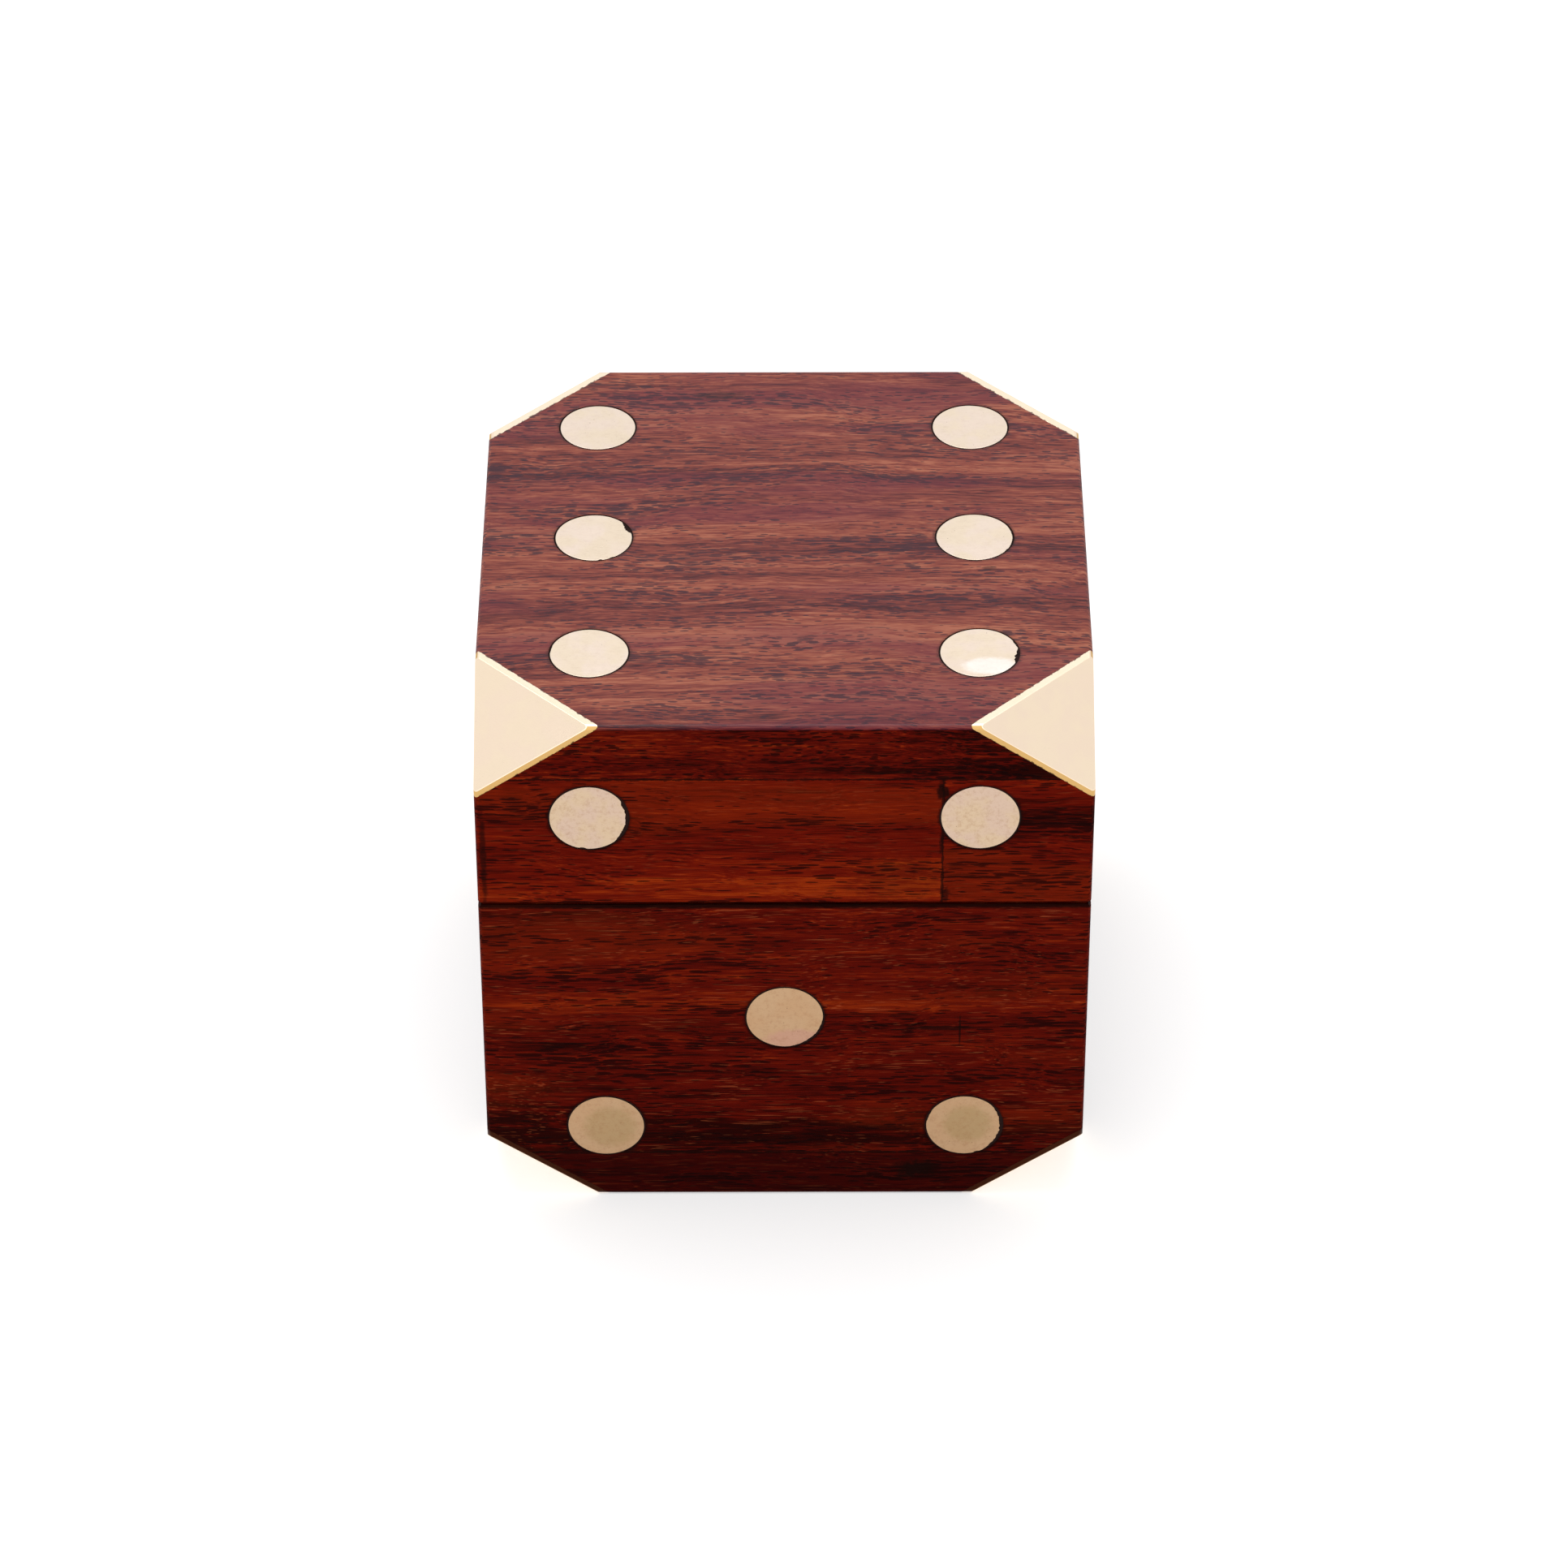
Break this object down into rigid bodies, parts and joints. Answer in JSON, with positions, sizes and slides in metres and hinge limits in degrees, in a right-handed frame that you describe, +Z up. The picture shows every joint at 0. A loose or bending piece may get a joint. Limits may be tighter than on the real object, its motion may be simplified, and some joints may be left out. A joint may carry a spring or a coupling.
{
  "type": "dice box with hinged lid",
  "caption": "Cube-shaped wooden box styled as a large die, with a lid hinged at the back, flush brass pips on every face, brass corner plates and a velvet-lined compartment.",
  "frame": {"origin": "middle of the underside of the closed box, below the middle of its square plan", "axes": "+X to the right as seen from the front, +Y towards the hinged back, +Z up out of the top"},
  "size_m": [0.0636, 0.0659, 0.0635],
  "materials": {
    "rosewood": "lacquered, semi-gloss, dark red-brown with orange bands and black pores",
    "plate_brass": "ground flat, satin",
    "pip_brass": "sanded flush, fine scratches",
    "velvet": "short pile",
    "hinge_brass": "rolled sheet, satin"
  },
  "bodies": {
    "base": {"base_floor_board": "rosewood", "base_front_wall": "rosewood", "base_back_wall": "rosewood", "base_left_wall": "rosewood", "base_right_wall": "rosewood", "base_plate_front_left": "plate_brass", "base_plate_front_right": "plate_brass", "base_plate_back_left": "plate_brass", "base_plate_back_right": "plate_brass", "base_front_pips": "pip_brass", "base_back_pip": "pip_brass", "base_left_pips": "pip_brass", "base_right_pips": "pip_brass", "base_bottom_pip": "pip_brass", "base_lining_floor": "velvet", "base_lining_walls": "velvet", "hinge_left_base_leaf": "hinge_brass", "hinge_left_pin": "hinge_brass", "hinge_right_base_leaf": "hinge_brass", "hinge_right_pin": "hinge_brass", "base_hinge_nails": "hinge_brass"},
    "lid": {"lid_top_board": "rosewood", "lid_front_wall_long": "rosewood", "lid_front_wall_short": "rosewood", "lid_back_wall": "rosewood", "lid_left_wall": "rosewood", "lid_right_wall": "rosewood", "lid_plate_front_left": "plate_brass", "lid_plate_front_right": "plate_brass", "lid_plate_back_left": "plate_brass", "lid_plate_back_right": "plate_brass", "lid_top_pips": "pip_brass", "lid_front_pips": "pip_brass", "lid_back_pip": "pip_brass", "lid_left_pips": "pip_brass", "lid_right_pip": "pip_brass", "lid_lining_top": "velvet", "lid_lining_walls": "velvet", "lid_hinge_nails": "hinge_brass", "hinge_left_lid_leaf": "hinge_brass", "hinge_right_lid_leaf": "hinge_brass"}
  },
  "joints": [
    {"name": "lid_hinge", "type": "hinge", "parent": "base", "child": "lid", "pos_m": [0, 0.03275, 0.04015], "axis": [-1, 0, 0], "range_deg": [0, 180]}
  ]
}
